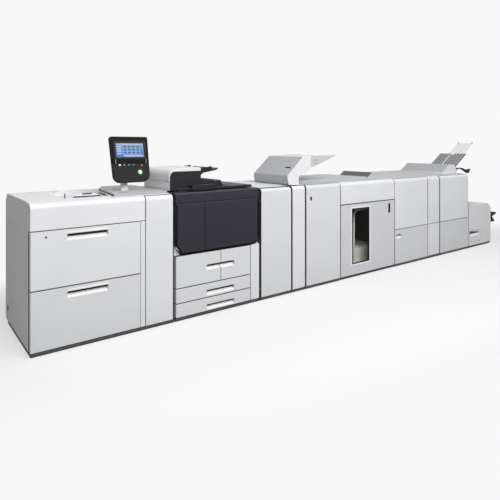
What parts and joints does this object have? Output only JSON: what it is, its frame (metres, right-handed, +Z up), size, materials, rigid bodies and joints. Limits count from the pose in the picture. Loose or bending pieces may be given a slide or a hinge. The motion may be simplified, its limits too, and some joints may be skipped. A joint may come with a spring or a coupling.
{
  "type": "digital production printer",
  "caption": "Digital printing line of docked cabinets: paper feeder, printer with document feeder and tilting screen, inserter, stacker, finishers and trimmer.",
  "frame": {"origin": "centre of the line's bounding box at floor level", "axes": "+X along the line in the direction the sheets travel, -Y out of the doors towards the operator, +Z up"},
  "size_m": [6.294, 0.834, 1.4567],
  "materials": {
    "white_panel": "satin",
    "light_grey_cover": "satin",
    "mid_grey_plastic": "matte",
    "black_plastic": "satin",
    "dark_frame": "matte",
    "steel": "brushed",
    "glass": "polished",
    "dark_window": "polished",
    "screen": "gloss",
    "green_key": "gloss",
    "red_key": "gloss",
    "rubber": "matte",
    "white_sheet": "matte"
  },
  "bodies": {
    "line": {"feeder_cabinet": "white_panel", "feeder_top_cover": "white_panel", "screen_post": "light_grey_cover", "printer_cabinet": "white_panel", "drum_unit": "mid_grey_plastic", "fuser_unit": "steel", "scanner_base": "black_plastic", "platen_glass": "glass", "decurler_cabinet": "white_panel", "inserter_cabinet": "white_panel", "inserter_head": "white_panel", "inserter_tray": "light_grey_cover", "stacker_cabinet": "white_panel", "stacker_top_cover": "light_grey_cover", "stacker_cart": "mid_grey_plastic", "finisher_cabinet": "white_panel", "folder_cabinet": "white_panel", "booklet_cabinet": "white_panel", "output_tray": "mid_grey_plastic", "trimmer_cabinet": "light_grey_cover", "trimmer_exit_tray": "black_plastic", "base_frames": "dark_frame"},
    "cart_door": {"cart_door": "white_panel", "cart_window": "dark_window"},
    "control_panel": {"control_panel": "black_plastic", "touch_screen": "screen", "menu_keys": "light_grey_cover"},
    "feeder_upper_drawer": {"feeder_upper_drawer": "white_panel"},
    "feeder_lower_drawer": {"feeder_lower_drawer": "white_panel"},
    "bypass_front_guide": {"bypass_front_guide": "light_grey_cover"},
    "bypass_rear_guide": {"bypass_rear_guide": "light_grey_cover"},
    "column_door": {"column_door": "white_panel"},
    "screen_swivel": {"screen_swivel": "mid_grey_plastic"},
    "start_key": {"start_key": "green_key"},
    "stop_key": {"stop_key": "red_key"},
    "left_front_door": {"left_front_door": "black_plastic"},
    "right_front_door": {"right_front_door": "black_plastic"},
    "document_feeder": {"document_feeder": "black_plastic"},
    "document_feeder_cover": {"document_feeder_cover": "white_panel"},
    "document_tray": {"document_tray": "black_plastic"},
    "document_front_guide": {"document_front_guide": "mid_grey_plastic"},
    "document_rear_guide": {"document_rear_guide": "mid_grey_plastic"},
    "paper_tray_1": {"paper_tray_1": "white_panel"},
    "paper_tray_2": {"paper_tray_2": "white_panel"},
    "paper_tray_3": {"paper_tray_3": "white_panel"},
    "paper_tray_4": {"paper_tray_4": "white_panel"},
    "decurler_door": {"decurler_door": "white_panel"},
    "inserter_door": {"inserter_door": "white_panel"},
    "stacker_left_door": {"stacker_left_door": "white_panel"},
    "cart_front_wheels": {"cart_front_wheels": "rubber"},
    "cart_rear_wheels": {"cart_rear_wheels": "rubber"},
    "stack_platform": {"stack_platform": "steel"},
    "finisher_upper_door": {"finisher_upper_door": "white_panel"},
    "finisher_lower_door": {"finisher_lower_door": "white_panel"},
    "booklet_upper_door": {"booklet_upper_door": "white_panel"},
    "booklet_lower_door": {"booklet_lower_door": "white_panel"},
    "tray_extension": {"tray_extension": "white_sheet"},
    "output_arm": {"output_arm": "black_plastic"},
    "trimmer_cover": {"trimmer_cover": "light_grey_cover"},
    "trim_waste_bin": {"trim_waste_bin": "white_panel"}
  },
  "joints": [
    {"name": "feeder_upper_drawer_slide", "type": "slide", "parent": "line", "child": "feeder_upper_drawer", "axis": [0, -1, 0], "range_m": [0, 0.48]},
    {"name": "feeder_lower_drawer_slide", "type": "slide", "parent": "line", "child": "feeder_lower_drawer", "axis": [0, -1, 0], "range_m": [0, 0.48]},
    {"name": "bypass_front_guide_slide", "type": "slide", "parent": "line", "child": "bypass_front_guide", "axis": [0, 1, 0], "range_m": [0, 0.15]},
    {"name": "bypass_rear_guide_slide", "type": "slide", "parent": "line", "child": "bypass_rear_guide", "axis": [0, -1, 0], "range_m": [0, 0.15]},
    {"name": "column_door_hinge", "type": "hinge", "parent": "line", "child": "column_door", "pos_m": [-2.126, -0.404, 0.428], "axis": [0, 0, 1], "range_deg": [0, 90]},
    {"name": "screen_swivel", "type": "hinge", "parent": "line", "child": "screen_swivel", "pos_m": [-2.407, -0.155, 1.079], "axis": [0, 0, 1], "range_deg": [-30, 30]},
    {"name": "screen_tilt", "type": "hinge", "parent": "screen_swivel", "child": "control_panel", "pos_m": [-2.407, -0.155, 1.1063], "axis": [-1, 0, 0], "range_deg": [-13, 20]},
    {"name": "start_key_press", "type": "slide", "parent": "control_panel", "child": "start_key", "axis": [0, 0.9744, -0.225], "range_m": [0, 0.002], "stiffness_N_per_m": 250, "springref_m": -0.001},
    {"name": "stop_key_press", "type": "slide", "parent": "control_panel", "child": "stop_key", "axis": [0, 0.9744, -0.225], "range_m": [0, 0.002], "stiffness_N_per_m": 200, "springref_m": -0.001},
    {"name": "left_front_door_hinge", "type": "hinge", "parent": "line", "child": "left_front_door", "pos_m": [-2.074, -0.404, 0.728], "axis": [0, 0, -1], "range_deg": [0, 90]},
    {"name": "right_front_door_hinge", "type": "hinge", "parent": "line", "child": "right_front_door", "pos_m": [-1.275, -0.404, 0.728], "axis": [0, 0, 1], "range_deg": [0, 90]},
    {"name": "document_feeder_hinge", "type": "hinge", "parent": "line", "child": "document_feeder", "pos_m": [-1.707, 0.209, 1.032], "axis": [-1, 0, 0], "range_deg": [0, 60]},
    {"name": "document_feeder_cover_hinge", "type": "hinge", "parent": "document_feeder", "child": "document_feeder_cover", "pos_m": [-2.088, -0.067, 1.1], "axis": [0, -1, 0], "range_deg": [0, 60]},
    {"name": "document_tray_hinge", "type": "hinge", "parent": "document_feeder", "child": "document_tray", "pos_m": [-1.78, -0.069, 1.156], "axis": [0, -1, 0], "range_deg": [0, 30]},
    {"name": "document_front_guide_slide", "type": "slide", "parent": "document_tray", "child": "document_front_guide", "axis": [0, 1, 0], "range_m": [0, 0.12]},
    {"name": "document_rear_guide_slide", "type": "slide", "parent": "document_tray", "child": "document_rear_guide", "axis": [0, -1, 0], "range_m": [0, 0.12]},
    {"name": "paper_tray_1_slide", "type": "slide", "parent": "line", "child": "paper_tray_1", "axis": [0, -1, 0], "range_m": [0, 0.42]},
    {"name": "paper_tray_2_slide", "type": "slide", "parent": "line", "child": "paper_tray_2", "axis": [0, -1, 0], "range_m": [0, 0.42]},
    {"name": "paper_tray_3_slide", "type": "slide", "parent": "line", "child": "paper_tray_3", "axis": [0, -1, 0], "range_m": [0, 0.42]},
    {"name": "paper_tray_4_slide", "type": "slide", "parent": "line", "child": "paper_tray_4", "axis": [0, -1, 0], "range_m": [0, 0.42]},
    {"name": "decurler_door_hinge", "type": "hinge", "parent": "line", "child": "decurler_door", "pos_m": [-1.22, -0.404, 0.428], "axis": [0, 0, -1], "range_deg": [0, 90]},
    {"name": "inserter_door_hinge", "type": "hinge", "parent": "line", "child": "inserter_door", "pos_m": [-0.846, -0.404, 0.428], "axis": [0, 0, -1], "range_deg": [0, 90]},
    {"name": "stacker_left_door_hinge", "type": "hinge", "parent": "line", "child": "stacker_left_door", "pos_m": [-0.213, -0.404, 0.428], "axis": [0, 0, 1], "range_deg": [0, 90]},
    {"name": "cart_door_hinge", "type": "hinge", "parent": "line", "child": "cart_door", "pos_m": [-0.175, -0.404, 0.428], "axis": [0, 0, -1], "range_deg": [0, 90]},
    {"name": "cart_front_wheels_spin", "type": "hinge", "parent": "line", "child": "cart_front_wheels", "pos_m": [0.364, -0.209, 0.034], "axis": [1, 0, 0], "continuous": true},
    {"name": "cart_rear_wheels_spin", "type": "hinge", "parent": "line", "child": "cart_rear_wheels", "pos_m": [0.364, 0.151, 0.034], "axis": [1, 0, 0], "continuous": true},
    {"name": "stack_platform_lift", "type": "slide", "parent": "line", "child": "stack_platform", "axis": [0, 0, 1], "range_m": [0, 0.38]},
    {"name": "finisher_upper_door_hinge", "type": "hinge", "parent": "line", "child": "finisher_upper_door", "pos_m": [1.358, -0.404, 0.728], "axis": [0, 0, 1], "range_deg": [0, 90]},
    {"name": "finisher_lower_door_hinge", "type": "hinge", "parent": "line", "child": "finisher_lower_door", "pos_m": [1.358, -0.404, 0.228], "axis": [0, 0, 1], "range_deg": [0, 90]},
    {"name": "booklet_upper_door_hinge", "type": "hinge", "parent": "line", "child": "booklet_upper_door", "pos_m": [2.324, -0.404, 0.728], "axis": [0, 0, 1], "range_deg": [0, 90]},
    {"name": "booklet_lower_door_hinge", "type": "hinge", "parent": "line", "child": "booklet_lower_door", "pos_m": [2.324, -0.404, 0.228], "axis": [0, 0, 1], "range_deg": [0, 90]},
    {"name": "tray_extension_slide", "type": "slide", "parent": "line", "child": "tray_extension", "axis": [0.8508, 0, 0.5255], "range_m": [-0.13, 0]},
    {"name": "output_arm_hinge", "type": "hinge", "parent": "line", "child": "output_arm", "pos_m": [2.306, -0.247, 1.055], "axis": [0, -1, 0], "range_deg": [0, 25]},
    {"name": "trimmer_cover_hinge", "type": "hinge", "parent": "line", "child": "trimmer_cover", "pos_m": [2.66, 0.357, 0.498], "axis": [-1, 0, 0], "range_deg": [0, 25]},
    {"name": "trim_waste_bin_slide", "type": "slide", "parent": "line", "child": "trim_waste_bin", "axis": [0, -1, 0], "range_m": [0, 0.3]}
  ],
  "couplings": [
    {"joint": "bypass_rear_guide_slide", "follows": "bypass_front_guide_slide", "ratio": 1},
    {"joint": "document_rear_guide_slide", "follows": "document_front_guide_slide", "ratio": 1}
  ]
}
